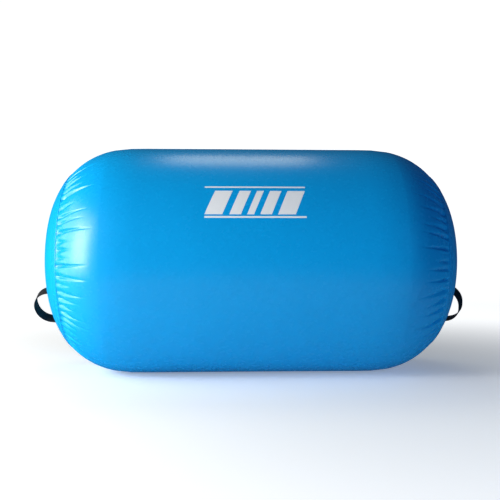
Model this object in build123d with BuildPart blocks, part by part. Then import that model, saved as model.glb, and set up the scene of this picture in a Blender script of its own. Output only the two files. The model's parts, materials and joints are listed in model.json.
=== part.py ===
from build123d import *
from math import asin, cos, degrees, hypot, radians, sin, sqrt
import os

# An inflatable air roller for gymnastics. A tube of PVC-coated fabric is gathered at both ends
# and welded to a domed end panel. Each end has a webbing loop handle, and the right end has an
# inflation valve in its middle.
#
# Millimetres. +X runs along the roller towards the valve end and +Z is up. The origin is the
# middle of the flat strip on which the roller rests on the floor.

# Driving dimensions of the inflated roller
overall_length = 1200
barrel_radius = 335
knuckle_radius = 229  # the round shoulder between the barrel and the crown
crown_radius = 639  # the nearly flat middle of each end
floor_strip_width = 60  # the strip that its weight presses flat on the floor
skin_thickness = 0.9  # PVC-coated fabric
tape_thickness = 0.7
valve_flat_depth = 1.0  # how far the valve's flange flattens the right crown
hole_cut_depth = 10  # past the panel, for the valve's hole
strip_cut_depth = 40  # into the barrel, past the floor strip

# Seams. An angle round the knuckle is 0 where the shoulder leaves the barrel.
gather_end_angle = 47  # where the gathers meet the outer end tape
end_seam_angle = 50  # where the tube's rim butts the end panel
outer_tape_end_angle = 53
inner_tape_angles = (47.5, 52.5)
barrel_tape_width = 40
barrel_tape_place = 225  # round the axis from the top, so low at the back
barrel_tape_end_angle = 46.8

# Handles. The two roots lie on a line that is tilted in the end's plane.
webbing_width = 38
webbing_thickness = 2.2
handle_drop = {-1: 135, 1: 128}  # the handle's middle, below the axis, by side
handle_shift = 17  # and to one side of it
handle_tilt = 30
handle_half_span = {-1: 56, 1: 58}  # half the loop's width at its roots
handle_rise = {-1: 70, 1: 57}  # the loop's height over its roots
handle_top_share = 0.86  # the loop's width at its top, against its width at its roots
handle_bend_share = 0.9  # the radius of its two bends, against its half width
fold_height = 21  # the loop turns about this line over its roots
tab_length = 26
tab_gap = 1.5  # between the loop's foot and the sewn tab
patch_margin = 5
patch_corner = 10

# Valve. A height is measured outward from the outside of the valve patch.
valve_patch_radius = 38
panel_hole_radius = 16.3
flange_radius = 29
flange_height = 3
neck_radius = 18.5
neck_inner_radius = 15.5
neck_height = 11
barrel_outer_radius = 16
valve_bore_radius = 14
valve_depth = 20
guide_inner_radius = 12.6
hub_radius = 6
hub_heights = (-16, -10)
spoke_width = 2.5
spoke_count = 3
stem_radius = 3
running_clearance = 0.05
button_radius = 7
button_heights = (0.4, 2.9)
ear_radius = 9.5
ear_width = 5
ear_thickness = 2
ledge_inner_radius = 8.5
ledge_heights = (-1.45, 0.25)
ledge_half_angle = 25
diaphragm_radius = 15.6
diaphragm_thickness = 2
retainer_radius = 8
retainer_thickness = 2
stem_head_radius = 4.5
stem_head_thickness = 1.2
spring_radius = 4.6
spring_wire_radius = 0.45
spring_turns = 5
gasket_thickness = 1.5
nut_radius = 27
nut_height = 9
nut_rib_count = 8
nut_rib_size = (4, 5)
nut_rib_setback = 2  # from the nut's face on the gasket
rib_root_depth = 1  # how far a grip rib reaches into what it stands on
ring_radius = 21.5
ring_heights = (3.05, 5)
ring_inner_radius = 18.8
tongue_width = 7  # the strip from the ring out to its bead
tongue_root_depth = 1.5
tongue_past_bead = 0.5  # how far the tongue reaches past the bead's axis
pivot_radius = 25.5  # the cap's hinge line, from the valve's axis
pivot_height = 5.6
bead_radius = 1.1
bead_length = 16
bead_gap = 0.1
cap_ear_thickness = 3
cap_ear_radius = 2.3
cap_ear_reach = 3.6
cap_radius = 22.5
cap_skirt_radius = 19.3
cap_heights = (5.4, 11.9, 14.4)  # the skirt's rim, the underside and the top
cap_edge_radius = 1.2
cap_rib_count = 20  # round the whole cap, less the three places by the hinge
cap_ribs_left_out = 3
cap_rib_size = (1.6, 2.4)
cap_rib_setback = 1  # from the skirt's rim
cap_seal_radii = (15.7, 18.3)

# Worked out from the driving dimensions
half_length = overall_length / 2
axis_height = sqrt(barrel_radius**2 - (floor_strip_width / 2) ** 2)
knuckle_centre_radius = barrel_radius - knuckle_radius
crown_centre_x = half_length - crown_radius
crown_angle = degrees(asin(knuckle_centre_radius / (crown_radius - knuckle_radius)))
knuckle_centre_x = crown_centre_x + (crown_radius - knuckle_radius) * cos(radians(crown_angle))
crown_join_angle = 90 - crown_angle
crown_join_radius = crown_radius * sin(radians(crown_angle))
panel_flat_x = half_length - valve_flat_depth
valve_face_x = panel_flat_x + skin_thickness
roller_axis = Axis((0, 0, axis_height), (1, 0, 0))
sides = {-1: "left", 1: "right"}
pieces = {}


def knuckle_point(angle, lift=0.0):
    """A point of the section, round the right knuckle, lifted off the skin's outside."""
    reach = knuckle_radius + lift
    turn = radians(angle)
    return knuckle_centre_x + reach * sin(turn), knuckle_centre_radius + reach * cos(turn)


def crown_point(angle, lift=0.0):
    """A point of the section, on the right crown, at an angle from the roller's axis."""
    reach = crown_radius + lift
    turn = radians(angle)
    return crown_centre_x + reach * cos(turn), reach * sin(turn)


def mirrored(point):
    """The same point of the section at the left end."""
    return -point[0], point[1]


def surface_x(radius, lift):
    """How far along the roller its right end's surface lies, at a radius from the axis."""
    if radius <= crown_join_radius:
        return crown_centre_x + sqrt((crown_radius + lift) ** 2 - radius**2)
    return knuckle_centre_x + sqrt((knuckle_radius + lift) ** 2 - (radius - knuckle_centre_radius) ** 2)


def section_plane(turn=0.0):
    """The half plane of a section, with its y axis turned round the roller's axis from the top."""
    angle = radians(turn)
    return Plane(origin=(0, 0, axis_height), x_dir=(1, 0, 0), z_dir=(0, -cos(angle), -sin(angle)))


def on_side(shape, side):
    """A shape made for the right end, or its mirror image for the left end."""
    if side > 0:
        return shape
    return mirror(shape, about=Plane.YZ, mode=Mode.PRIVATE)


def knuckle_band(low_lift, high_lift, start_angle, end_angle):
    """A ring that follows the right knuckle between two angles and two lifts."""
    middle = (start_angle + end_angle) / 2
    with BuildPart() as band:
        with BuildSketch(section_plane()):
            with BuildLine():
                ThreePointArc(*[knuckle_point(a, high_lift) for a in (start_angle, middle, end_angle)])
                Line(knuckle_point(end_angle, high_lift), knuckle_point(end_angle, low_lift))
                ThreePointArc(*[knuckle_point(a, low_lift) for a in (end_angle, middle, start_angle)])
                Line(knuckle_point(start_angle, low_lift), knuckle_point(start_angle, high_lift))
            make_face()
        revolve(axis=roller_axis)
    return band.part


def end_layer(low_lift, high_lift, flattened=False):
    """A layer over the right end, from the end seam to the axis, flat in the middle if flattened."""
    middle = (end_seam_angle + crown_join_angle) / 2
    knuckle_angles = (end_seam_angle, middle, crown_join_angle)
    flat_angles = {low_lift: 0.0, high_lift: 0.0}
    if flattened:
        for lift in flat_angles:
            reach = panel_flat_x + lift - crown_centre_x
            flat_angles[lift] = degrees(asin(sqrt(1 - (reach / (crown_radius + lift)) ** 2)))
    with BuildPart() as layer:
        with BuildSketch(section_plane()):
            with BuildLine():
                for lift in (low_lift, high_lift):
                    flat_angle = flat_angles[lift]
                    crown_middle = (crown_angle + flat_angle) / 2
                    ThreePointArc(*[knuckle_point(a, lift) for a in knuckle_angles])
                    ThreePointArc(*[crown_point(a, lift) for a in (crown_angle, crown_middle, flat_angle)])
                    if flattened:
                        Line(crown_point(flat_angle, lift), (panel_flat_x + lift, 0))
                tip = panel_flat_x if flattened else half_length
                Line((tip + low_lift, 0), (tip + high_lift, 0))
                Line(knuckle_point(end_seam_angle, low_lift), knuckle_point(end_seam_angle, high_lift))
            make_face()
        revolve(axis=roller_axis)
    return layer.part


def tube_section(plane, low_lift, high_lift, end_angle):
    """The section of a layer along the whole barrel, between the same angle on both knuckles."""
    half_angle = end_angle / 2
    with BuildSketch(plane) as section:
        with BuildLine():
            for lift in (low_lift, high_lift):
                right = [knuckle_point(a, lift) for a in (0, half_angle, end_angle)]
                left = [mirrored(p) for p in right]
                ThreePointArc(*right)
                ThreePointArc(*left)
                Line(right[0], left[0])
            right_rim = [knuckle_point(end_angle, lift) for lift in (low_lift, high_lift)]
            Line(*right_rim)
            Line(*[mirrored(p) for p in right_rim])
        make_face()
    return section.sketch


# The tube, with the strip that the floor presses flat
with BuildPart() as floor_strip:
    revolve(tube_section(section_plane(), -strip_cut_depth, 0, end_seam_angle), axis=roller_axis)
    split(bisect_by=Plane.XY.offset(skin_thickness), keep=Keep.BOTTOM)

with BuildPart() as barrel_skin:
    revolve(tube_section(section_plane(), -skin_thickness, 0, end_seam_angle), axis=roller_axis)
    add(floor_strip.part)
    split(bisect_by=Plane.XY, keep=Keep.TOP)
pieces["barrel_skin"] = barrel_skin.part

# Tapes over the tube's lengthwise joint
barrel_tape_arc = degrees(barrel_tape_width / barrel_radius)
for name, low_lift, high_lift in (
    ("barrel_outer_seam_tape", 0, tape_thickness),
    ("barrel_inner_seam_tape", -skin_thickness - tape_thickness, -skin_thickness),
):
    plane = section_plane(barrel_tape_place)
    with BuildPart() as barrel_tape:
        revolve(
            tube_section(plane, low_lift, high_lift, barrel_tape_end_angle),
            axis=roller_axis,
            revolution_arc=barrel_tape_arc,
        )
    pieces[name] = barrel_tape.part

# End panels, and the tape rings over and under each end seam
for side, side_name in sides.items():
    with BuildPart() as end_panel:
        add(on_side(end_layer(-skin_thickness, 0, flattened=side > 0), side))
        if side > 0:
            with BuildSketch(Plane(origin=(half_length, 0, axis_height), z_dir=(-1, 0, 0))):
                Circle(panel_hole_radius)
            extrude(amount=hole_cut_depth, mode=Mode.SUBTRACT)
    pieces[side_name + "_end_panel"] = end_panel.part

    outer_tape = knuckle_band(0, tape_thickness, gather_end_angle, outer_tape_end_angle)
    inner_tape = knuckle_band(-skin_thickness - tape_thickness, -skin_thickness, *inner_tape_angles)
    pieces[side_name + "_outer_end_tape"] = on_side(outer_tape, side)
    pieces[side_name + "_inner_end_tape"] = on_side(inner_tape, side)


def handle_plane(side):
    """A plane across the roller at a handle's middle, with its x axis along the handle."""
    tilt = radians(handle_tilt)
    return Plane(
        origin=(0, -side * handle_shift, axis_height - handle_drop[side]),
        x_dir=(0, side * sin(tilt), cos(tilt)),
        z_dir=(side, 0, 0),
    )


def root_plane(side):
    """The handle's own plane: x from root to root, y outward, z across the webbing."""
    flat = handle_plane(side)
    roots = []
    for way in (-1, 1):
        spot = flat.origin + flat.x_dir * way * (handle_half_span[side] - webbing_thickness / 2)
        radius = hypot(spot.Y, spot.Z - axis_height)
        roots.append(Vector(side * surface_x(radius, skin_thickness), spot.Y, spot.Z))
    along = (roots[1] - roots[0]).normalized()
    outward = flat.z_dir - along * flat.z_dir.dot(along)
    return Plane(origin=(roots[0] + roots[1]) * 0.5, x_dir=along, z_dir=along.cross(outward))


# Handles: two patches and two sewn tabs on the panel, and the loop that swings over them
for side, side_name in sides.items():
    half_span = handle_half_span[side]
    rise = handle_rise[side]
    tab_start = half_span + tab_gap
    patch_start = half_span - 3 * patch_margin
    patch_end = tab_start + tab_length + patch_margin

    with BuildPart() as handle_patches:
        with BuildSketch(handle_plane(side)):
            with Locations(*[(way * (patch_start + patch_end) / 2, 0) for way in (-1, 1)]):
                RectangleRounded(patch_end - patch_start, webbing_width + 2 * patch_margin, patch_corner)
        extrude(amount=overall_length)
        add(on_side(end_layer(0, skin_thickness), side), mode=Mode.INTERSECT)
    pieces[side_name + "_handle_patches"] = handle_patches.part

    with BuildPart() as handle_tabs:
        with BuildSketch(handle_plane(side)):
            with Locations(*[(way * (tab_start + tab_length / 2), 0) for way in (-1, 1)]):
                Rectangle(tab_length, webbing_width)
        extrude(amount=overall_length)
        webbing_layer = end_layer(skin_thickness, skin_thickness + webbing_thickness)
        add(on_side(webbing_layer, side), mode=Mode.INTERSECT)
    pieces[side_name + "_handle_tabs"] = handle_tabs.part

    loop_plane = root_plane(side)
    straight_out = Vector(side, 0, 0)
    lean = rise * straight_out.dot(loop_plane.x_dir)
    fold_line = loop_plane.origin + loop_plane.y_dir * fold_height
    foot_plane = Plane(origin=fold_line, x_dir=-loop_plane.z_dir, z_dir=loop_plane.x_dir)
    with BuildPart() as handle_loop:
        with BuildSketch(loop_plane):
            with BuildLine():
                FilletPolyline(
                    (-half_span, 0),
                    (lean - handle_top_share * half_span, rise),
                    (lean + handle_top_share * half_span, rise),
                    (half_span, 0),
                    radius=handle_bend_share * half_span,
                )
                offset(amount=webbing_thickness, side=Side.RIGHT)
            make_face()
        extrude(amount=webbing_width / 2, both=True)
        with BuildSketch(foot_plane):
            Circle(webbing_width / 2)
            Rectangle(webbing_width, rise, align=(Align.CENTER, Align.MIN))
        extrude(amount=2 * half_span, both=True, mode=Mode.INTERSECT)
    pieces[side_name + "_handle_loop"] = handle_loop.part
    print(side_name, "handle turns about", fold_line / 1000, "along", loop_plane.x_dir)

valve_plane = Plane(origin=(valve_face_x, 0, axis_height), x_dir=(0, 1, 0), z_dir=(1, 0, 0))


def valve_ring(outer, inner, low, high, mode=Mode.ADD):
    """Add or cut a ring or disc about the valve's axis, between two heights, in the open part."""
    with BuildSketch(valve_plane.offset(low)) as outline:
        Circle(outer)
        if inner > 0:
            Circle(inner, mode=Mode.SUBTRACT)
    extrude(outline.sketch, amount=high - low, mode=mode)


# The welded patch under the valve's flange
with BuildPart() as valve_patch:
    add(end_layer(0, skin_thickness, flattened=True))
    with BuildSketch(Plane(origin=(0, 0, axis_height), z_dir=(1, 0, 0))):
        Circle(valve_patch_radius)
        Circle(panel_hole_radius, mode=Mode.SUBTRACT)
    extrude(amount=overall_length, mode=Mode.INTERSECT)
pieces["valve_patch"] = valve_patch.part

# The valve's body: flange, neck and barrel
with BuildPart() as valve_body:
    valve_ring(flange_radius, valve_bore_radius, 0, flange_height)
    valve_ring(neck_radius, neck_inner_radius, flange_height, neck_height)
    valve_ring(barrel_outer_radius, valve_bore_radius, -valve_depth, 0)
pieces["valve_body"] = valve_body.part

# The guide pressed into the barrel: a sleeve, a hub on spokes and two ledges that lock the stem
guide_middle_radius = (valve_bore_radius + guide_inner_radius) / 2
with BuildPart() as valve_guide:
    valve_ring(valve_bore_radius, guide_inner_radius, hub_heights[0], ledge_heights[1])
    valve_ring(hub_radius, 0, *hub_heights)
    with BuildSketch(valve_plane.offset(hub_heights[0])):
        with PolarLocations(0, spoke_count):
            Rectangle(guide_middle_radius, spoke_width, align=(Align.MIN, Align.CENTER))
    extrude(amount=hub_heights[1] - hub_heights[0])
    valve_ring(stem_radius + running_clearance, 0, *hub_heights, mode=Mode.SUBTRACT)
    with BuildSketch(valve_plane.offset(ledge_heights[0])):
        Circle(guide_middle_radius)
        Circle(ledge_inner_radius, mode=Mode.SUBTRACT)
        with PolarLocations(0, 2, start_angle=90):
            half_width = flange_radius * sin(radians(ledge_half_angle))
            far = flange_radius * cos(radians(ledge_half_angle))
            Polygon((0, 0), (far, -half_width), (far, half_width), align=None, mode=Mode.INTERSECT)
    extrude(amount=ledge_heights[1] - ledge_heights[0])
pieces["valve_guide"] = valve_guide.part

# Inside the roller: the gasket and the nut that clamp the panel
panel_inside = -2 * skin_thickness
with BuildPart() as valve_gasket:
    valve_ring(nut_radius, barrel_outer_radius, panel_inside - gasket_thickness, panel_inside)
pieces["valve_gasket"] = valve_gasket.part

nut_top = panel_inside - gasket_thickness
with BuildPart() as valve_back_nut:
    valve_ring(nut_radius, barrel_outer_radius, nut_top - nut_height, nut_top)
    with BuildSketch(valve_plane.offset(nut_top - nut_height)):
        with PolarLocations(nut_radius, nut_rib_count):
            Rectangle(*nut_rib_size)
        Circle(nut_radius - rib_root_depth, mode=Mode.SUBTRACT)
    extrude(amount=nut_height - nut_rib_setback)
pieces["valve_back_nut"] = valve_back_nut.part

# The poppet: a rubber diaphragm and its retainer, closed against the barrel's inner end
retainer_top = -valve_depth - diaphragm_thickness
retainer_bottom = retainer_top - retainer_thickness
with BuildPart() as valve_diaphragm:
    valve_ring(diaphragm_radius, stem_radius + running_clearance, retainer_top, -valve_depth)
pieces["valve_diaphragm"] = valve_diaphragm.part

with BuildPart() as valve_retainer:
    valve_ring(retainer_radius, stem_radius + running_clearance, retainer_bottom, retainer_top)
pieces["valve_retainer"] = valve_retainer.part

# The stem: a rod with a push button, two ears that lock it down, and a head under the retainer
with BuildPart() as valve_stem:
    head_top = retainer_bottom - running_clearance
    valve_ring(stem_radius, 0, head_top, button_heights[1])
    valve_ring(stem_head_radius, 0, head_top - stem_head_thickness, head_top)
    valve_ring(button_radius, 0, *button_heights)
    with BuildSketch(valve_plane.offset(button_heights[0])):
        Rectangle(2 * ear_radius, ear_width)
    extrude(amount=ear_thickness)
pieces["valve_stem"] = valve_stem.part

# The spring round the stem, between the hub and the button
spring_low = hub_heights[1] + spring_wire_radius
spring_height = button_heights[0] - hub_heights[1] - 2 * spring_wire_radius
spring_start = valve_plane.offset(spring_low)
with BuildPart() as valve_spring:
    with BuildLine() as coil:
        Helix(
            pitch=spring_height / spring_turns,
            height=spring_height,
            radius=spring_radius,
            center=spring_start.origin,
            direction=valve_plane.z_dir,
        )
    with BuildSketch(Plane(origin=coil.line @ 0, z_dir=coil.line % 0)):
        Circle(spring_wire_radius)
    sweep(is_frenet=True)
pieces["valve_spring"] = valve_spring.part


def at_pivot(offset=0.0):
    """A plane across the cap's hinge line, offset along it, with y outward along the valve's axis."""
    return Plane(
        origin=(valve_face_x + pivot_height, offset, axis_height - pivot_radius),
        x_dir=(0, 0, -1),
        z_dir=(0, -1, 0),
    )


# The ring round the neck, with the bead that the cap swings on
with BuildPart() as valve_cap_ring:
    valve_ring(ring_radius, ring_inner_radius, *ring_heights)
    with BuildSketch(valve_plane.offset(ring_heights[0])):
        with Locations((0, tongue_root_depth - ring_radius)):
            tongue_length = pivot_radius - ring_radius + tongue_root_depth + tongue_past_bead
            Rectangle(tongue_width, tongue_length, align=(Align.CENTER, Align.MAX))
    extrude(amount=ring_heights[1] - ring_heights[0])
    with BuildSketch(at_pivot()):
        Circle(bead_radius)
    extrude(amount=bead_length / 2, both=True)
pieces["valve_cap_ring"] = valve_cap_ring.part

# The cap, its grip ribs, and the two ears that hold the ring's bead
with BuildPart() as valve_cap:
    valve_ring(cap_radius, 0, cap_heights[1], cap_heights[2])
    fillet(valve_cap.edges().group_by(Axis.X)[-1], radius=cap_edge_radius)
    valve_ring(cap_radius, cap_skirt_radius, cap_heights[0], cap_heights[1])
    rib_step = 360 / cap_rib_count
    first_rib = -90 + 2 * rib_step  # none beside the hinge
    rib_range = 360 - 4 * rib_step
    with BuildSketch(valve_plane.offset(cap_heights[0] + cap_rib_setback)):
        ribs = cap_rib_count - cap_ribs_left_out
        with PolarLocations(cap_radius, ribs, first_rib, rib_range, endpoint=True):
            Rectangle(*cap_rib_size)
        Circle(cap_radius - rib_root_depth, mode=Mode.SUBTRACT)
    extrude(amount=cap_heights[1] - cap_heights[0])
    for way in (-1, 1):
        with BuildSketch(at_pivot(way * (bead_length / 2 - cap_ear_thickness / 2))) as ear:
            Circle(cap_ear_radius)
            Rectangle(cap_ear_reach, cap_ear_radius, align=(Align.MAX, Align.MIN))
            Circle(bead_radius + bead_gap, mode=Mode.SUBTRACT)
        extrude(amount=cap_ear_thickness / 2, both=True)
pieces["valve_cap"] = valve_cap.part

with BuildPart() as valve_cap_seal:
    valve_ring(cap_seal_radii[1], cap_seal_radii[0], neck_height + running_clearance, cap_heights[1])
pieces["valve_cap_seal"] = valve_cap_seal.part

os.makedirs("parts", exist_ok=True)
for name, piece in pieces.items():
    piece.label = name
    export_step(piece, "parts/" + name + ".step")
print(len(pieces), "pieces, axis at", round(axis_height, 3))
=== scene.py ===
import json
import math
import random

import bmesh
import bpy
import numpy as np
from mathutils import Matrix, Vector


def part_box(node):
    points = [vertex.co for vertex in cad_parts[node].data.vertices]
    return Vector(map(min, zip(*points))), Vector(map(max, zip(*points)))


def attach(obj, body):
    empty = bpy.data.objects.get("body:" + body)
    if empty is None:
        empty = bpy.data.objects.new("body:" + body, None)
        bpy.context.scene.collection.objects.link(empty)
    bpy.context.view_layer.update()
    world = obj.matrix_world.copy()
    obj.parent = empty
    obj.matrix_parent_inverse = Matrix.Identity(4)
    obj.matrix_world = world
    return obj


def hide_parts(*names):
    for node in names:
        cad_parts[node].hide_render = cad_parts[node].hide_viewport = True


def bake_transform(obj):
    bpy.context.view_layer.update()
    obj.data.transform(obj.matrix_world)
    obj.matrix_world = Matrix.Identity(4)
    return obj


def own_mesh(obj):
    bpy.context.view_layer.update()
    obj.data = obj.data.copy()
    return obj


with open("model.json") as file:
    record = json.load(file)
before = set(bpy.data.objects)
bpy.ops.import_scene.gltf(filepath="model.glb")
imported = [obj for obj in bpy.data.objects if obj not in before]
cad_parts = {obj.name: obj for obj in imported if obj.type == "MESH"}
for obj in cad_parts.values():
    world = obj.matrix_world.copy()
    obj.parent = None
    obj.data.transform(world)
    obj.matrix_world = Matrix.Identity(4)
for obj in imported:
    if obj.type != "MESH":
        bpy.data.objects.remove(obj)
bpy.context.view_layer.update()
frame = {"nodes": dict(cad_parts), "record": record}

# The roller's shape, in metres. Its size comes from the frame; the arcs of its ends are these.
skin_low, skin_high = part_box("barrel_skin")
RADIUS = (skin_high.y - skin_low.y) / 2
AXIS_Z = skin_high.z - RADIUS
HALF_LENGTH = -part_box("left_end_panel")[0].x
KNUCKLE_RADIUS = 0.229
CROWN_RADIUS = 0.639
FLAT_DEPTH = 0.001  # the valve's flange flattens the right crown by this much
KNUCKLE_OUT = RADIUS - KNUCKLE_RADIUS
CROWN_X = HALF_LENGTH - CROWN_RADIUS
CROWN_ANGLE = math.asin(KNUCKLE_OUT / (CROWN_RADIUS - KNUCKLE_RADIUS))
KNUCKLE_X = CROWN_X + (CROWN_RADIUS - KNUCKLE_RADIUS) * math.cos(CROWN_ANGLE)
CROWN_START = KNUCKLE_X + KNUCKLE_RADIUS * (math.pi / 2 - CROWN_ANGLE)
POLE = CROWN_START + CROWN_RADIUS * CROWN_ANGLE

COLUMNS = 960  # round the skin
MM = 0.001


def round_knuckle(degrees):
    """The length along the section, from the middle of the roller, of an angle round the knuckle."""
    return KNUCKLE_X + KNUCKLE_RADIUS * math.radians(degrees)


# Seams
GATHER_END = round_knuckle(47)
END_SEAM = round_knuckle(50)
TAPE_END = round_knuckle(53)
STRIP_END = round_knuckle(46.8)  # of the tape over the lengthwise joint
TAPE_LIFT = 0.0007
TAPE_BEVEL = 0.0006  # the width of a tape's rounded edge
PANEL_HOLE_RADIUS = 0.0163  # for the valve

# Tucks, in millimetres
TUCK_DEPTH = (6.5, 10.0)
TUCK_REACH = (60, 100)
TUCK_WIDTH = (7, 14)
LONG_TUCK_REACH = (95, 130)
LONG_TUCK_DEEPER = 1.2
USUAL_STEP = 16  # columns from one tuck to the next, at the plain depth
SHORT_TUCK_STEP = 14  # a wider step than this may hold a short tuck too
SHORT_TUCK_CHANCE = 0.7
SHORT_TUCK_DEPTH = (1.4, 3.2)
SHORT_TUCK_REACH = (25, 60)
SHORT_TUCK_WIDTH = (4, 7)
TIP_WIDTH_SHARE = 0.14
SWELL_DEPTH = 0.45
SWELL_DECAY = 55
EDGE_RAMP = 17  # over this distance from the tape the tucks reach their full depth
EDGE_FOOT = 6  # and this far under the tape they end
EDGE_SHARE = 0.07  # the share of their depth that they have at the tape's edge


# ---------------------------------------------------------------- shape of the surface

def section(length):
    """x, radius and the outward normal's x and radial parts, at lengths from the middle."""
    s = np.abs(length)
    side = np.where(length < 0, -1.0, 1.0)
    turn = np.clip((s - KNUCKLE_X) / KNUCKLE_RADIUS, 0, math.pi / 2 - CROWN_ANGLE)
    x = np.minimum(s, KNUCKLE_X) + KNUCKLE_RADIUS * np.sin(turn)
    r = KNUCKLE_OUT + KNUCKLE_RADIUS * np.cos(turn)
    angle = np.clip(CROWN_ANGLE - (s - CROWN_START) / CROWN_RADIUS, 0, CROWN_ANGLE)
    on_crown = s > CROWN_START
    x = np.where(on_crown, CROWN_X + CROWN_RADIUS * np.cos(angle), x)
    r = np.where(on_crown, CROWN_RADIUS * np.sin(angle), r)
    nx = np.where(on_crown, np.cos(angle), np.sin(turn))
    nr = np.where(on_crown, np.sin(angle), np.cos(turn))
    return side * x, r, side * nx, nr


def place(length, around, lift):
    """Points of the surface. around is 0 at the top and grows towards the front."""
    x, r, nx, nr = section(length)
    x = x + nx * lift
    r = r + nr * lift
    return np.stack([x, -r * np.sin(around), AXIS_Z + r * np.cos(around)], axis=-1)


def softening(length, width=0.085):
    """How far the skin lies inside the plain arcs where its barrel bends into its shoulders."""
    turn = np.clip((np.abs(length) - KNUCKLE_X) / width, -1, 1)
    bend = np.where(turn < 0, (1 + turn) ** 4, 2 - (1 - turn) ** 4) / 24
    share = np.clip((np.abs(length) - KNUCKLE_X + width) / (GATHER_END - KNUCKLE_X + width), 0, 1)
    return (bend - share * share * (3 - 2 * share) / 12) * width**2 / KNUCKLE_RADIUS


def flatten_on_floor(points, softness=0.0006):
    """The weight of the roller presses its underside flat on the floor."""
    z = points[..., 2]
    points[..., 2] = softness * np.logaddexp(0, z / softness)
    return points


class Gathers:
    """The tucks that draw one end of the tube in to its end seam."""

    def __init__(self, seed, steps, long_share):
        rng = random.Random(seed)
        self.tucks = []
        column = 0.0
        while column < COLUMNS - 9:
            step = rng.choice(steps)
            self.tucks.append(self.tuck(rng, column, step, long_share))
            if step > SHORT_TUCK_STEP and rng.random() < SHORT_TUCK_CHANCE:
                self.tucks.append(self.short_tuck(rng, column + step * rng.uniform(0.4, 0.6)))
            column += step
        self.lean = [(rng.randint(9, 38), rng.uniform(0, 2 * math.pi)) for _ in range(9)]
        self.swell = [(rng.randint(14, 46), rng.uniform(0, 2 * math.pi)) for _ in range(9)]

    @staticmethod
    def tuck(rng, column, step, long_share):
        long_one = rng.random() < long_share
        deeper = LONG_TUCK_DEEPER if long_one else 1.0
        return {
            "column": column,
            "depth": rng.uniform(*TUCK_DEPTH) * MM * deeper * (step / USUAL_STEP) ** 0.5,
            "reach": rng.uniform(*(LONG_TUCK_REACH if long_one else TUCK_REACH)) * MM,
            "widths": (rng.uniform(*TUCK_WIDTH) * MM, rng.uniform(*TUCK_WIDTH) * MM),
        }

    @staticmethod
    def short_tuck(rng, column):
        return {
            "column": column,
            "depth": rng.uniform(*SHORT_TUCK_DEPTH) * MM,
            "reach": rng.uniform(*SHORT_TUCK_REACH) * MM,
            "widths": (rng.uniform(*SHORT_TUCK_WIDTH) * MM, rng.uniform(*SHORT_TUCK_WIDTH) * MM),
        }

    def lean_at(self, around, back):
        """How far, in radians, the tucks lean to one side at a distance back from the seam."""
        total = sum(np.sin(wave * around + phase) / wave for wave, phase in self.lean)
        return total * 0.16 * np.clip(back / 0.15, 0, 1.5) ** 1.4

    def drop(self, around, back, radius):
        """How far the skin lies under its smooth surface, at a distance back from the seam."""
        drop = np.zeros_like(around)
        foot = np.clip((back + EDGE_FOOT * MM) / (EDGE_FOOT * MM), 0, 1)
        ramp = np.clip(back / (EDGE_RAMP * MM), 0, 1) ** 0.8
        for tuck in self.tucks:
            left = np.clip(1 - np.maximum(back, 0) / tuck["reach"], 0, 1)
            offset = around - tuck["column"] * 2 * math.pi / COLUMNS
            offset = (offset + math.pi) % (2 * math.pi) - math.pi
            offset = offset * radius
            width = np.where(offset < 0, *tuck["widths"]) * (TIP_WIDTH_SHARE + (1 - TIP_WIDTH_SHARE) * left)
            near = np.clip(1 - np.abs(offset) / width, 0, 1)
            fold = tuck["depth"] * left ** 1.15 * near ** 1.2
            drop = np.maximum(drop, fold) + 0.25 * np.minimum(drop, fold)
        swell = sum(np.sin(wave * around + phase) for wave, phase in self.swell)
        swell = (swell / len(self.swell) + 1) * SWELL_DEPTH * MM
        swell = swell * np.exp(-np.maximum(back, 0) / (SWELL_DECAY * MM))
        return (drop + swell) * (EDGE_SHARE * foot + (1 - EDGE_SHARE) * ramp)


gathers = {
    -1: Gathers(11, (10, 11, 12, 13, 14, 15, 16, 18, 21), 0.4),
    1: Gathers(29, (13, 15, 16, 18, 20, 22), 0.75),
}


# ---------------------------------------------------------------- making meshes

def new_object(name, vertices, faces, smooth=True):
    mesh = bpy.data.meshes.new(name)
    mesh.from_pydata([tuple(v) for v in vertices], [], faces)
    mesh.validate()
    mesh.polygons.foreach_set("use_smooth", [smooth] * len(mesh.polygons))
    mesh.update()
    obj = bpy.data.objects.new(name, mesh)
    bpy.context.scene.collection.objects.link(obj)
    return obj


def grid_faces(rows, columns, closed=True, flip=False):
    """Quads of a grid of points. closed joins its last column to its first."""
    faces = []
    last = columns if closed else columns - 1
    for row in range(rows - 1):
        low, high = row * columns, (row + 1) * columns
        for column in range(last):
            after = (column + 1) % columns
            quad = (low + column, low + after, high + after, high + column)
            faces.append(quad[::-1] if flip else quad)
    return faces


def finish_piece(obj, body, material, slot, *nodes):
    """Gives a piece its material, and lets it ride on a body in place of CAD nodes. The slot is not used."""
    obj.data.materials.clear()
    obj.data.materials.append(material)
    if body:
        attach(obj, body)
    if nodes:
        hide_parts(*nodes)
    return obj


# ---------------------------------------------------------------- materials

def node_material(name):
    """An empty node material with its principled shader, and the tree's two makers."""
    material = bpy.data.materials.new(name)
    material.use_nodes = True
    tree = material.node_tree
    tree.nodes.clear()
    output = tree.nodes.new("ShaderNodeOutputMaterial")
    shader = tree.nodes.new("ShaderNodeBsdfPrincipled")
    tree.links.new(shader.outputs["BSDF"], output.inputs["Surface"])
    return material, tree, shader


def add_node(tree, kind, inputs=None, **settings):
    """A node of a kind, with its settings, its plain inputs and the sockets that feed it."""
    node = tree.nodes.new(kind)
    for key, value in settings.items():
        setattr(node, key, value)
    for key, value in (inputs or {}).items():
        if isinstance(value, bpy.types.NodeSocket):
            tree.links.new(value, node.inputs[key])
        else:
            node.inputs[key].default_value = value
    return node


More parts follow.
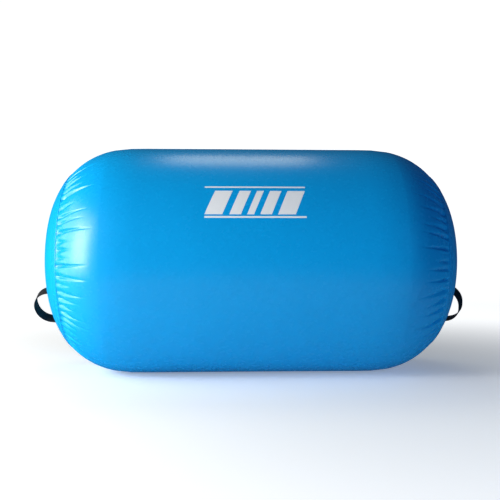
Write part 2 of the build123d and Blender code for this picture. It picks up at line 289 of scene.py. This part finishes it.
def coated_fabric(name, colour, roughness, relief):
    """Glossy PVC over a woven scrim: the weave shows faintly, and the colour varies a little."""
    material, tree, shader = node_material(name)
    place_node = add_node(tree, "ShaderNodeTexCoord")
    spot = place_node.outputs["Object"]
    patchy = add_node(tree, "ShaderNodeTexNoise", {"Vector": spot, "Scale": 7.0, "Detail": 3.0})
    shade = add_node(
        tree, "ShaderNodeMapRange",
        {
            "Value": patchy.outputs["Fac"], "From Min": 0.3, "From Max": 0.7,
            "To Min": 0.985, "To Max": 1.015,
        },
    )
    tone = add_node(
        tree, "ShaderNodeHueSaturation", {"Color": (*colour, 1.0), "Value": shade.outputs["Result"]}
    )
    tree.links.new(tone.outputs["Color"], shader.inputs["Base Color"])
    grain = add_node(tree, "ShaderNodeTexNoise", {"Vector": spot, "Scale": 60.0, "Detail": 4.0})
    dull = add_node(
        tree, "ShaderNodeMapRange",
        {
            "Value": grain.outputs["Fac"], "From Min": 0.3, "From Max": 0.7,
            "To Min": roughness - 0.006, "To Max": roughness + 0.008,
        },
    )
    tree.links.new(dull.outputs["Result"], shader.inputs["Roughness"])
    threads = []
    for direction in ("X", "Z"):
        thread = add_node(
            tree, "ShaderNodeTexWave",
            {"Vector": spot, "Scale": 210.0, "Distortion": 0.4, "Detail": 1.0},
            bands_direction=direction,
        )
        threads.append(thread.outputs["Fac"])
    weave = add_node(tree, "ShaderNodeMath", {0: threads[0], 1: threads[1]}, operation="MULTIPLY")
    fine = add_node(
        tree, "ShaderNodeBump", {"Height": weave.outputs["Value"], "Strength": 0.02, "Distance": 0.00004}
    )
    waves = add_node(tree, "ShaderNodeTexNoise", {"Vector": spot, "Scale": 16.0, "Detail": 2.0})
    broad = add_node(
        tree, "ShaderNodeBump",
        {
            "Height": waves.outputs["Fac"], "Strength": relief, "Distance": 0.003,
            "Normal": fine.outputs["Normal"],
        },
    )
    tree.links.new(broad.outputs["Normal"], shader.inputs["Normal"])
    shader.inputs["Specular IOR Level"].default_value = 0.34
    return material


def woven_webbing(name, colour):
    """Woven webbing: two sets of slanted yarns over the length, by the strap's own coordinates."""
    material, tree, shader = node_material(name)
    along = add_node(tree, "ShaderNodeTexCoord").outputs["UV"]
    yarns = []
    for turn in (32, -32):
        turned = add_node(
            tree, "ShaderNodeMapping", {"Vector": along, "Rotation": (0, 0, math.radians(turn))}
        )
        yarn = add_node(
            tree, "ShaderNodeTexWave",
            {"Vector": turned.outputs["Vector"], "Scale": 190.0, "Distortion": 0.6, "Detail": 1.0},
        )
        yarns.append(yarn.outputs["Fac"])
    weave = add_node(tree, "ShaderNodeMath", {0: yarns[0], 1: yarns[1]}, operation="MAXIMUM")
    tone = add_node(
        tree, "ShaderNodeMapRange", {"Value": weave.outputs["Value"], "To Min": 0.55, "To Max": 1.25}
    )
    shade = add_node(
        tree, "ShaderNodeHueSaturation", {"Color": (*colour, 1.0), "Value": tone.outputs["Result"]}
    )
    tree.links.new(shade.outputs["Color"], shader.inputs["Base Color"])
    bump = add_node(
        tree, "ShaderNodeBump", {"Height": weave.outputs["Value"], "Strength": 0.7, "Distance": 0.0004}
    )
    tree.links.new(bump.outputs["Normal"], shader.inputs["Normal"])
    shader.inputs["Roughness"].default_value = 0.62
    shader.inputs["Specular IOR Level"].default_value = 0.3
    shader.inputs["Sheen Weight"].default_value = 0.03
    shader.inputs["Sheen Roughness"].default_value = 0.5
    return material


def plain_finish(name, colour, roughness, metallic=0.0, grain_scale=900.0, relief=0.08):
    """Moulded plastic, rubber or metal with a fine grain."""
    material, tree, shader = node_material(name)
    spot = add_node(tree, "ShaderNodeTexCoord").outputs["Object"]
    grain = add_node(tree, "ShaderNodeTexNoise", {"Vector": spot, "Scale": grain_scale, "Detail": 3.0})
    dull = add_node(
        tree, "ShaderNodeMapRange",
        {"Value": grain.outputs["Fac"], "To Min": roughness - 0.05, "To Max": roughness + 0.06},
    )
    tree.links.new(dull.outputs["Result"], shader.inputs["Roughness"])
    bump = add_node(
        tree, "ShaderNodeBump", {"Height": grain.outputs["Fac"], "Strength": relief, "Distance": 0.0002}
    )
    tree.links.new(bump.outputs["Normal"], shader.inputs["Normal"])
    shader.inputs["Base Color"].default_value = (*colour, 1.0)
    shader.inputs["Metallic"].default_value = metallic
    return material


BLUE = (0.0015, 0.305, 0.68)
materials = {
    "pvc_skin": coated_fabric("PVC_Skin", BLUE, 0.27, 0.012),
    "pvc_panel": coated_fabric("PVC_Panel", BLUE, 0.28, 0.012),
    "pvc_tape": coated_fabric("PVC_Tape", (0.0015, 0.295, 0.67), 0.27, 0.012),
    "pvc_patch": coated_fabric("PVC_Patch", (0.0015, 0.285, 0.65), 0.34, 0.03),
    "webbing": woven_webbing("Webbing", (0.006, 0.006, 0.007)),
    "valve_plastic": plain_finish("Valve_Plastic", (0.018, 0.018, 0.020), 0.42),
    "cap_plastic": plain_finish("Cap_Plastic", (0.020, 0.020, 0.022), 0.38),
    "stem_plastic": plain_finish("Stem_Plastic", (0.70, 0.70, 0.66), 0.40),
    "valve_rubber": plain_finish("Valve_Rubber", (0.022, 0.022, 0.022), 0.68),
    "spring_steel": plain_finish("Spring_Steel", (0.62, 0.62, 0.62), 0.28, metallic=1.0),
}
thread_finish = plain_finish("Thread", (0.03, 0.03, 0.033), 0.6, relief=0.2)
print_ink = plain_finish("Print_Ink", (0.80, 0.80, 0.80), 0.34)

for subpart in frame["record"]["subparts"]:
    node = frame["nodes"][subpart["node"]]
    node.data.materials.clear()
    node.data.materials.append(materials[subpart["material_slot"]])


# ---------------------------------------------------------------- the skin, its tapes and ends

BARREL_TAPE = (math.radians(225), 0.040 / RADIUS)  # where it starts round the tube, and its width


def calm_near_barrel_tape(around):
    """Less tucking where the lengthwise seam tape stiffens the skin."""
    middle = BARREL_TAPE[0] + BARREL_TAPE[1] / 2
    offset = np.abs((around - middle + math.pi) % (2 * math.pi) - math.pi)
    return np.clip((offset - 0.5 * BARREL_TAPE[1]) / 0.05, 0, 1) * 0.8 + 0.2


def skin_drop(length, around):
    """How far the skin lies under its smooth surface, anywhere on the tube."""
    total = np.zeros_like(around)
    for side, tucks in gathers.items():
        rows = (length * side > 0) & (np.abs(length) > KNUCKLE_X - 0.12)
        if not rows.any():
            continue
        back = GATHER_END - np.abs(length[rows])
        turned = around[rows] + tucks.lean_at(around[rows], np.maximum(back, 0))
        _, radius, _, _ = section(length[rows])
        total[rows] = tucks.drop(turned, back, radius)
    return total * calm_near_barrel_tape(around)


def skin_rows():
    """Lengths from the middle to one rim, closer together where the skin is tucked."""
    rows = list(np.linspace(0, GATHER_END - 0.19, 9))
    rows += list(GATHER_END - 0.15 * np.linspace(1, 0, 34) ** 1.15)[1:]
    rows += [GATHER_END + 0.004, GATHER_END + 0.008, END_SEAM]
    return np.array(rows)


UNEVEN_WAVES = 7
UNEVEN_DEPTH = 0.4 * MM


def unevenness(length, around):
    """How far slow waves of the inflated skin take it under its smooth surface."""
    rng = random.Random(5)
    waves = np.zeros_like(around)
    for _ in range(UNEVEN_WAVES):
        turn, run = rng.randint(2, 7), rng.uniform(4, 13)
        waves += np.sin(turn * around + run * length + rng.uniform(0, 2 * math.pi))
    return (1 + waves / UNEVEN_WAVES) * UNEVEN_DEPTH


half_rows = skin_rows()
lengths = np.concatenate([-half_rows[:0:-1], half_rows])
column_angles = np.arange(COLUMNS) * 2 * math.pi / COLUMNS
length_grid, around_grid = np.meshgrid(lengths, column_angles, indexing="ij")
skin_lift = -skin_drop(length_grid, around_grid) - unevenness(length_grid, around_grid)
skin_lift -= softening(length_grid)
skin_points = flatten_on_floor(place(length_grid, around_grid, skin_lift))
skin = new_object("Barrel_Skin", skin_points.reshape(-1, 3), grid_faces(len(lengths), COLUMNS))
finish_piece(skin, "root", materials["pvc_skin"], "pvc_skin", "barrel_skin")


def band(name, lengths, lifts, columns, ripple=None, start=0.0, arc=2 * math.pi):
    """A strip of the surface, all the way round or over an arc, at a lift for each length."""
    closed = arc >= 2 * math.pi
    angles = start + np.linspace(0, arc, columns, endpoint=not closed)
    length_grid, around_grid = np.meshgrid(lengths, angles, indexing="ij")
    lift_grid = np.repeat(np.asarray(lifts)[:, None], len(angles), axis=1)
    if ripple is not None:
        lift_grid = lift_grid + ripple(length_grid, around_grid)
    points = flatten_on_floor(place(length_grid, around_grid, lift_grid))
    return new_object(name, points.reshape(-1, 3), grid_faces(len(lengths), len(angles), closed))


def pucker(side, decay):
    """Shallow radial puckers that die away from the end seam."""
    rng = random.Random(40 + side)
    waves = [(rng.randint(34, 90), rng.uniform(0, 2 * math.pi), rng.uniform(0.4, 1)) for _ in range(12)]

    def lift(length, around):
        size = np.exp(-np.maximum(np.abs(length) - GATHER_END, 0) / decay)
        total = sum(share * np.sin(wave * around + phase) for wave, phase, share in waves)
        return (total / 12 - 0.3) * 0.75 * MM * size

    return lift


PUCKER_DECAY = 0.022

for side, side_name in ((-1, "left"), (1, "right")):
    tape_lengths = [GATHER_END, GATHER_END + TAPE_BEVEL / 3, GATHER_END + TAPE_BEVEL]
    tape_lengths += list(np.linspace(GATHER_END + TAPE_BEVEL, TAPE_END - TAPE_BEVEL, 9))[1:-1]
    tape_lengths += [TAPE_END - 0.0025, TAPE_END - 0.0012, TAPE_END]
    tape_lifts = [-0.0004, TAPE_LIFT * 0.7]
    tape_lifts += [TAPE_LIFT] * (len(tape_lengths) - 4)
    tape_lifts += [TAPE_LIFT * 0.6, -0.0002]
    puckers = pucker(side, PUCKER_DECAY)
    title = side_name.title()
    tape = band(title + "_Outer_Tape", side * np.array(tape_lengths), tape_lifts, 640, puckers)
    finish_piece(tape, "root", materials["pvc_tape"], "pvc_tape", side_name + "_outer_end_tape")

    panel_lengths = np.concatenate([
        np.linspace(END_SEAM, TAPE_END + 0.04, 22), np.linspace(TAPE_END + 0.04, POLE - 0.001, 34)[1:]
    ])
    panel_lifts = [0.0] * len(panel_lengths)
    panel = band(title + "_End_Panel", side * panel_lengths, panel_lifts, 480, puckers)
    mesh = bmesh.new()
    mesh.from_mesh(panel.data)
    if side > 0:
        flat_x = HALF_LENGTH - FLAT_DEPTH
        in_hole = []
        for vertex in mesh.verts:
            radius = math.hypot(vertex.co.y, vertex.co.z - AXIS_Z)
            vertex.co.x = min(vertex.co.x, flat_x)
            if radius < PANEL_HOLE_RADIUS:
                in_hole.append(vertex)
        bmesh.ops.delete(mesh, geom=in_hole, context="VERTS")
    else:
        near_pole = -HALF_LENGTH + 0.01
        rim = [edge for edge in mesh.edges if edge.is_boundary and edge.verts[0].co.x < near_pole]
        bmesh.ops.contextual_create(mesh, geom=rim)
    mesh.to_mesh(panel.data)
    mesh.free()
    finish_piece(panel, "root", materials["pvc_panel"], "pvc_panel", side_name + "_end_panel")

strip_half = half_rows[half_rows < STRIP_END - 0.002]
strip_half = np.append(strip_half, STRIP_END)
strip_lengths = np.concatenate([-strip_half[:0:-1], strip_half])
strip_shares = np.array([0, 0.004, 0.015, *np.linspace(0.06, 0.94, 14), 0.985, 0.996, 1])
strip_angles = BARREL_TAPE[0] + BARREL_TAPE[1] * strip_shares
strip_lifts = np.array([-0.0002, 0.0005, TAPE_LIFT, *[TAPE_LIFT] * 14, TAPE_LIFT, 0.0005, -0.0002])
length_grid, around_grid = np.meshgrid(strip_lengths, strip_angles, indexing="ij")
strip_drop = skin_drop(length_grid, around_grid) + unevenness(length_grid, around_grid)
strip_drop += softening(length_grid)
strip_points = place(length_grid, around_grid, strip_lifts[None, :] - strip_drop)
strip = new_object(
    "Barrel_Seam_Tape", strip_points.reshape(-1, 3), grid_faces(len(strip_lengths), len(strip_angles), False)
)
finish_piece(strip, "root", materials["pvc_tape"], "pvc_tape", "barrel_outer_seam_tape")


# ---------------------------------------------------------------- the print on the front

def on_barrel(name, outline, middle, lift, steps):
    """A bar of ink laid on the barrel. outline is its left, right, low and high edges and slant."""
    left, right, low, high, slant = outline
    points = []
    for row in np.linspace(low, high, steps[1]):
        for column in np.linspace(left, right, steps[0]):
            length = column + slant * (row - low)
            around = middle - row / RADIUS
            drop = unevenness(np.array(length), np.array(around))
            points.append(place(np.array(length), np.array(around), lift - drop))
    return new_object(name, points, grid_faces(steps[1], steps[0], False))


PRINT_MIDDLE = math.radians(63)
PRINT_HALF_WIDTH = 0.132
BAR_HALF_HEIGHT = 0.036
BAR_SLANT = 0.38
LINE_WIDTH = 0.005
INK_LIFT = 0.00012
bars = ((-0.132, 0.046), (-0.068, 0.030), (-0.022, 0.018), (0.012, 0.030), (0.058, 0.046))
print_pieces = []
for start, width in bars:
    outline = (start, start + width, -BAR_HALF_HEIGHT, BAR_HALF_HEIGHT, BAR_SLANT)
    print_pieces.append(on_barrel("Print_Bar", outline, PRINT_MIDDLE, INK_LIFT, (10, 22)))
for height in (-0.046, 0.046):
    outline = (-PRINT_HALF_WIDTH, PRINT_HALF_WIDTH, height, height + LINE_WIDTH, 0.0)
    print_pieces.append(on_barrel("Print_Line", outline, PRINT_MIDDLE, INK_LIFT, (60, 3)))


def join(name, pieces):
    """One object out of several, in the row frame."""
    mesh = bmesh.new()
    for piece in pieces:
        mesh.from_mesh(piece.data)
        bpy.data.objects.remove(piece)
    joined = bpy.data.meshes.new(name)
    mesh.to_mesh(joined)
    mesh.free()
    obj = bpy.data.objects.new(name, joined)
    bpy.context.scene.collection.objects.link(obj)
    return obj


finish_piece(join("Front_Print", print_pieces), "root", print_ink, "pvc_skin")


# ---------------------------------------------------------------- the valve's spring

SPRING_WIRE = 0.00045
SPRING_TURNS = 5


def coil(name, low, high, turns, wire, steps=36, corners=8):
    """A wire wound round the X axis inside a box."""
    radius = (high.y - low.y) / 2 - wire
    middle = (low + high) / 2
    start, rise = low.x + wire, high.x - low.x - 2 * wire
    points = []
    for step in range(turns * steps + 1):
        turn = 2 * math.pi * step / steps
        x = start + rise * step / (turns * steps)
        for corner in range(corners):
            angle = 2 * math.pi * corner / corners
            reach = radius + wire * math.cos(angle)
            y, z = middle.y + reach * math.cos(turn), middle.z + reach * math.sin(turn)
            points.append((x + wire * math.sin(angle), y, z))
    rows = turns * steps + 1
    ends = [tuple(range(corners)), tuple(range((rows - 1) * corners, rows * corners))[::-1]]
    return new_object(name, points, grid_faces(rows, corners) + ends)


spring_low, spring_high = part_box("valve_spring")
spring = coil("Valve_Spring", spring_low, spring_high, SPRING_TURNS, SPRING_WIRE)
finish_piece(spring, "root", materials["spring_steel"], "spring_steel", "valve_spring")
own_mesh(spring)


# ---------------------------------------------------------------- handles

WEBBING = (0.038, 0.0022)
PATCH_LIFT = 0.0009
HANDLES = {
    "left": {"side": -1, "drop": 0.135, "half_span": 0.056, "rise": 0.070},
    "right": {"side": 1, "drop": 0.128, "half_span": 0.058, "rise": 0.057},
}
HANDLE_SHIFT = 0.017
HANDLE_TILT = math.radians(30)
TOP_SHARE = 0.86
BEND_SHARE = 0.9
TAB_GAP = 0.0015
TAB_LENGTH = 0.026
ROOT_BEND_RADIUS = 0.0055
ROOT_SLACK = 0.0005
FREE_START = 0.0022  # from this height the strap begins to leave the end's own curve
FREE_RUN = 0.010  # and over this much more it is quite free of it
CROWN_JOIN_RADIUS = CROWN_RADIUS * math.sin(CROWN_ANGLE)


def surface_x(radius, lift):
    """How far from the middle an end's surface lies, at a radius from the axis."""
    if radius <= CROWN_JOIN_RADIUS:
        return CROWN_X + math.sqrt((CROWN_RADIUS + lift) ** 2 - radius**2)
    return KNUCKLE_X + math.sqrt((KNUCKLE_RADIUS + lift) ** 2 - (radius - KNUCKLE_OUT) ** 2)


def on_end(point, side, lift):
    """The point of an end's surface under or over a point, lifted off it."""
    radius = math.hypot(point.y, point.z - AXIS_Z)
    return Vector((side * surface_x(radius, lift), point.y, point.z))


class Handle:
    """Where one handle stands: its root line, its outward direction and the one across it."""

    def __init__(self, side, drop, half_span, rise):
        self.side, self.half_span, self.rise = side, half_span, rise
        self.flat_along = Vector((0, side * math.sin(HANDLE_TILT), math.cos(HANDLE_TILT)))
        self.flat_across = Vector((side, 0, 0)).cross(self.flat_along)
        self.middle = Vector((0, -side * HANDLE_SHIFT, AXIS_Z - drop))
        roots = []
        for way in (-1, 1):
            spot = self.middle + self.flat_along * way * (half_span - WEBBING[1] / 2)
            roots.append(on_end(spot, side, PATCH_LIFT))
        self.origin = (roots[0] + roots[1]) / 2
        self.along = (roots[1] - roots[0]).normalized()
        straight = Vector((side, 0, 0))
        self.outward = (straight - self.along * straight.dot(self.along)).normalized()
        self.across = self.along.cross(self.outward)
        self.lean = rise * straight.dot(self.along)

    def spot(self, along, outward, across):
        return self.origin + self.along * along + self.outward * outward + self.across * across

    def path(self):
        """The webbing's middle line as (along, height) points, from one tab's end to the other's."""
        half = self.half_span - WEBBING[1] / 2
        lift = WEBBING[1] / 2
        top = self.rise - WEBBING[1] / 2
        end = self.half_span + TAB_GAP + TAB_LENGTH
        corners = [
            ((-end, lift), 0.0), ((-half - ROOT_SLACK, lift), ROOT_BEND_RADIUS),
            ((self.lean - TOP_SHARE * half, top), BEND_SHARE * half),
            ((self.lean + TOP_SHARE * half, top), BEND_SHARE * half),
            ((half + ROOT_SLACK, lift), ROOT_BEND_RADIUS), ((end, lift), 0.0),
        ]
        return rounded_path(corners)


def rounded_path(corners):
    """Points of a polyline whose corners are rounded to the radius given with each."""
    points = [np.array(corners[0][0])]
    for (before, _), (corner, radius), (after, _) in zip(corners, corners[1:], corners[2:]):
        before, corner, after = np.array(before), np.array(corner), np.array(after)
        arriving = (corner - before) / np.linalg.norm(corner - before)
        leaving = (after - corner) / np.linalg.norm(after - corner)
        turn = math.acos(np.clip(arriving @ leaving, -1, 1))
        cut = radius * math.tan(turn / 2)
        start, end = corner - arriving * cut, corner + leaving * cut
        inward = (leaving - arriving) / np.linalg.norm(leaving - arriving)
        centre = corner + inward * radius / math.cos(turn / 2)
        steps = max(6, int(radius * turn / 0.0025))
        for step in range(steps + 1):
            share = step / steps
            arm = (start - centre) * math.sin((1 - share) * turn) + (end - centre) * math.sin(share * turn)
            points.append(centre + arm / math.sin(turn))
    points.append(np.array(corners[-1][0]))
    return points


def resampled(points, step):
    """The same path with points about step apart."""
    points = np.array(points)
    runs = np.concatenate([[0], np.cumsum(np.linalg.norm(np.diff(points, axis=0), axis=1))])
    marks = np.linspace(0, runs[-1], int(runs[-1] / step) + 1)
    return np.stack([np.interp(marks, runs, points[:, axis]) for axis in (0, 1)], axis=1), marks


def webbing_outline():
    """The webbing's cross-section as (across, thick) points: rounded edges and thicker selvedges."""
    half, thick = WEBBING[0] / 2, WEBBING[1] / 2
    top = []
    for share in np.linspace(-1, 1, 17):
        across = share * (half - 0.0011)
        near_edge = max(0.0, 1 - (half - 0.0011 - abs(across)) / 0.0035)
        selvedge = 0.10 * math.sin(math.pi * near_edge)
        rim = 0.12 if near_edge > 0.98 else 0.0
        top.append((across, thick * (0.90 + selvedge - rim)))
    right = [(half - 0.0004, thick * 0.60), (half, 0.0), (half - 0.0004, -thick * 0.60)]
    bottom = [(across, -height) for across, height in reversed(top)]
    left = [(-half + 0.0004, -thick * 0.60), (-half, 0.0), (-half + 0.0004, thick * 0.60)]
    return top + right + bottom + left


def strap(name, handle):
    """One length of webbing: sewn tab, bend, loop, bend and sewn tab."""
    middle, marks = resampled(handle.path(), 0.002)
    tangents = np.gradient(middle, axis=0)
    outline = webbing_outline()
    points, faces, coordinates = [], [], []
    for (along, height), tangent in zip(middle, tangents):
        tangent = tangent / np.linalg.norm(tangent)
        normal = np.array([-tangent[1], tangent[0]])
        share = min(max((height - FREE_START) / FREE_RUN, 0.0), 1.0)
        share = share * share * (3 - 2 * share)
        for across, thick in outline:
            a, h = along + normal[0] * thick, height + normal[1] * thick
            free = handle.spot(a, h, across)
            sewn = on_end(handle.spot(a, 0, across), handle.side, PATCH_LIFT + h)
            points.append(sewn.lerp(free, share))
    count = len(outline)
    for row in range(len(middle) - 1):
        for column in range(count):
            after = (column + 1) % count
            low, high = row * count, (row + 1) * count
            faces.append((low + column, low + after, high + after, high + column))
    faces.append(tuple(range(count))[::-1])
    faces.append(tuple(range((len(middle) - 1) * count, len(middle) * count)))
    obj = new_object(name, points, faces)
    layer = obj.data.uv_layers.new(name="Strap")
    for loop in obj.data.loops:
        row, column = divmod(loop.vertex_index, count)
        layer.data[loop.index].uv = (marks[row], outline[column][0])
    return obj


def rounded_rectangle(half_long, half_wide, corner, steps=8):
    """Points round a rectangle with rounded corners, about its middle."""
    points = []
    for turn, x, y in ((0, 1, 1), (90, -1, 1), (180, -1, -1), (270, 1, -1)):
        for step in range(steps + 1):
            angle = math.radians(turn + 90 * step / steps)
            points.append((
                x * (half_long - corner) + corner * math.cos(angle),
                y * (half_wide - corner) + corner * math.sin(angle),
            ))
    return points


def base_patch(handle, way):
    """The welded patch under one of a handle's tabs."""
    start = handle.half_span - 0.015
    end = handle.half_span + TAB_GAP + TAB_LENGTH + 0.005
    outline = rounded_rectangle((end - start) / 2, WEBBING[0] / 2 + 0.005, 0.010)
    rings = [(1.0, -0.0004), (0.998, PATCH_LIFT * 0.6), (0.985, PATCH_LIFT)]
    rings += [(share, PATCH_LIFT) for share in np.linspace(0.93, 0.07, 10)]
    points = []
    for share, lift in rings:
        for long, wide in outline:
            spot = handle.middle + handle.flat_along * way * ((start + end) / 2 + long * share)
            points.append(on_end(spot + handle.flat_across * wide * share, handle.side, lift))
    obj = new_object("Patch", points, grid_faces(len(rings), len(outline)) + [
        tuple(range((len(rings) - 1) * len(outline), len(rings) * len(outline)))
    ])
    return obj


STITCH_PITCH = 0.0036
STITCH_INSETS = (0.0035, 0.0025, 0.004)  # from the tab's foot, its end and its sides
THREAD_RADIUS = 0.00038


def stitches(handle, way):
    """Box and cross stitching through one tab."""
    inner = handle.half_span + TAB_GAP + STITCH_INSETS[0]
    outer = handle.half_span + TAB_GAP + TAB_LENGTH - STITCH_INSETS[1]
    half = WEBBING[0] / 2 - STITCH_INSETS[2]
    corners = [(inner, -half), (outer, -half), (outer, half), (inner, half)]
    lines = list(zip(corners, corners[1:] + corners[:1]))
    lines += [(corners[0], corners[2]), (corners[1], corners[3])]
    surface = PATCH_LIFT + WEBBING[1] * 0.97
    pieces = []
    for (a0, c0), (a1, c1) in lines:
        run = math.hypot(a1 - a0, c1 - c0)
        count = max(2, round(run / STITCH_PITCH))
        for index in range(count):
            ends = []
            for share in ((index + 0.12) / count, (index + 0.88) / count):
                ends.append((a0 + (a1 - a0) * share, c0 + (c1 - c0) * share))
            pieces.append(stitch(handle, way, ends, surface))
    return pieces


def stitch(handle, way, ends, surface):
    """One stitch: a thread that comes out of the webbing, lies on it and goes back in."""
    (a0, c0), (a1, c1) = ends
    run = Vector((a1 - a0, c1 - c0)).normalized()
    side_step = Vector((-run.y, run.x))
    rows = ((0.0, -0.0005), (0.08, 0.0), (0.3, 0.00022), (0.7, 0.00022), (0.92, 0.0), (1.0, -0.0005))
    points = []
    for share, rise in rows:
        a, c = a0 + (a1 - a0) * share, c0 + (c1 - c0) * share
        for corner in range(6):
            angle = corner * math.pi / 3
            shift = side_step * THREAD_RADIUS * math.cos(angle)
            spot = handle.spot(way * (a + shift.x), 0, c + shift.y)
            lift = surface + rise + THREAD_RADIUS * math.sin(angle)
            points.append(on_end(spot, handle.side, lift))
    return new_object("Stitch", points, grid_faces(len(rows), 6))


for side_name, sizes in HANDLES.items():
    handle = Handle(**sizes)
    title = side_name.title()
    webbing = strap(title + "_Handle_Strap", handle)
    webbing.data.materials.append(materials["webbing"])
    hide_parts(side_name + "_handle_loop", side_name + "_handle_tabs")
    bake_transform(webbing)
    patches = join(title + "_Handle_Patches", [base_patch(handle, way) for way in (-1, 1)])
    finish_piece(patches, "root", materials["pvc_patch"], "pvc_patch", side_name + "_handle_patches")
    sewing = join(title + "_Handle_Stitching", stitches(handle, -1) + stitches(handle, 1))
    finish_piece(sewing, "root", thread_finish, "webbing")


# ---------------------------------------------------------------- studio

def studio_material():
    """Pale paint that glows more the further it is from the roller, so that the studio stays white."""
    material, tree, shader = node_material("Studio_White")
    spot = add_node(tree, "ShaderNodeTexCoord").outputs["Object"]
    distance = add_node(tree, "ShaderNodeVectorMath", {0: spot}, operation="LENGTH")
    glow = add_node(
        tree, "ShaderNodeMapRange",
        {
            "Value": distance.outputs["Value"], "From Min": 0.35, "From Max": 2.4,
            "To Min": 0.22, "To Max": 0.90,
        },
        interpolation_type="SMOOTHSTEP",
    )
    tree.links.new(glow.outputs["Result"], shader.inputs["Emission Strength"])
    shader.inputs["Emission Color"].default_value = (1.0, 1.0, 1.0, 1.0)
    shader.inputs["Base Color"].default_value = (0.9, 0.9, 0.9, 1.0)
    shader.inputs["Roughness"].default_value = 0.9
    return material


def lathe(name, profile, material, steps=96):
    """A surface turned round the Z axis from (radius, height) points."""
    points = []
    for radius, height in profile:
        for step in range(steps):
            angle = 2 * math.pi * step / steps
            points.append((radius * math.cos(angle), radius * math.sin(angle), height))
    obj = new_object(name, points, grid_faces(len(profile), steps))
    obj.data.materials.append(material)
    return obj


STUDIO_RADIUS = 5.0
STUDIO_HEIGHT = 6.0
STUDIO_BEND = 1.5  # the radius that joins the floor to the wall
BEND_STEPS = 12
NEAR_FLOOR_RADIUS = 1.4  # only this much of the floor lights the roller
FLOOR_Z = -0.0002
studio_white = studio_material()
floor_profile = [(radius, FLOOR_Z) for radius in (0.01, NEAR_FLOOR_RADIUS / 2, NEAR_FLOOR_RADIUS)]
near_floor = lathe("Floor", floor_profile, studio_white)
wall_profile = [(NEAR_FLOOR_RADIUS, FLOOR_Z), (STUDIO_RADIUS - STUDIO_BEND, FLOOR_Z)]
for step in range(1, BEND_STEPS + 1):
    angle = math.radians(90 * step / BEND_STEPS)
    wall_profile.append((
        STUDIO_RADIUS - STUDIO_BEND + STUDIO_BEND * math.sin(angle),
        FLOOR_Z + STUDIO_BEND - STUDIO_BEND * math.cos(angle),
    ))
wall_profile.append((STUDIO_RADIUS, STUDIO_HEIGHT))
far_wall = lathe("Backdrop", wall_profile, studio_white)
far_wall.visible_diffuse = False
near_floor.visible_glossy = False
far_wall.visible_glossy = False


def softbox(name, position, target, size, power, colour=(1.0, 1.0, 1.0)):
    """A rectangular light that faces a target."""
    light = bpy.data.lights.new(name, "AREA")
    light.shape = "RECTANGLE"
    light.size, light.size_y = size
    light.energy = power
    light.color = colour
    obj = bpy.data.objects.new(name, light)
    bpy.context.scene.collection.objects.link(obj)
    obj.location = position
    obj.rotation_euler = (Vector(target) - Vector(position)).to_track_quat("-Z", "Y").to_euler()
    return obj


roller_middle = (0.0, 0, 0.35)
softbox("Key_Softbox", (-1.68, -0.67, 0.72), (-0.4, -0.2, 0.5), (1.4, 1.4), 29, (1.0, 1.0, 0.94))
softbox("Left_Fill", (-2.9, -1.7, 0.95), roller_middle, (1.15, 1.8), 104, (1.0, 1.0, 0.96))
softbox("Top_Softbox", (0.0, 0.75, 2.3), (0, 0, 0.5), (0.8, 0.7), 5.5, (1.0, 1.0, 0.85))
right_fill = softbox("Right_Fill", (2.2, -2.6, 1.2), roller_middle, (1.2, 1.6), 19, (0.22, 0.46, 1.0))
right_fill.visible_glossy = False

world = bpy.data.worlds.new("Studio")
bpy.context.scene.world = world
world.use_nodes = True
world.node_tree.nodes["Background"].inputs["Color"].default_value = (0.35, 0.62, 1.0, 1.0)
world.node_tree.nodes["Background"].inputs["Strength"].default_value = 0.06
bpy.context.scene.view_settings.view_transform = "Standard"


# ---------------------------------------------------------------- camera

CAMERA_DISTANCE = 2.01
CAMERA_YAW = math.radians(2.2)
camera_data = bpy.data.cameras.new("Camera")
camera_data.lens = 47.4
camera_data.sensor_width = 36.0
camera_data.shift_x = -0.002
camera_data.shift_y = 0.021
camera = bpy.data.objects.new("Camera", camera_data)
bpy.context.scene.collection.objects.link(camera)
camera.location = (-CAMERA_DISTANCE * math.sin(CAMERA_YAW), -CAMERA_DISTANCE * math.cos(CAMERA_YAW), AXIS_Z)
camera.rotation_euler = (math.pi / 2, 0, -CAMERA_YAW)
bpy.context.scene.camera = camera
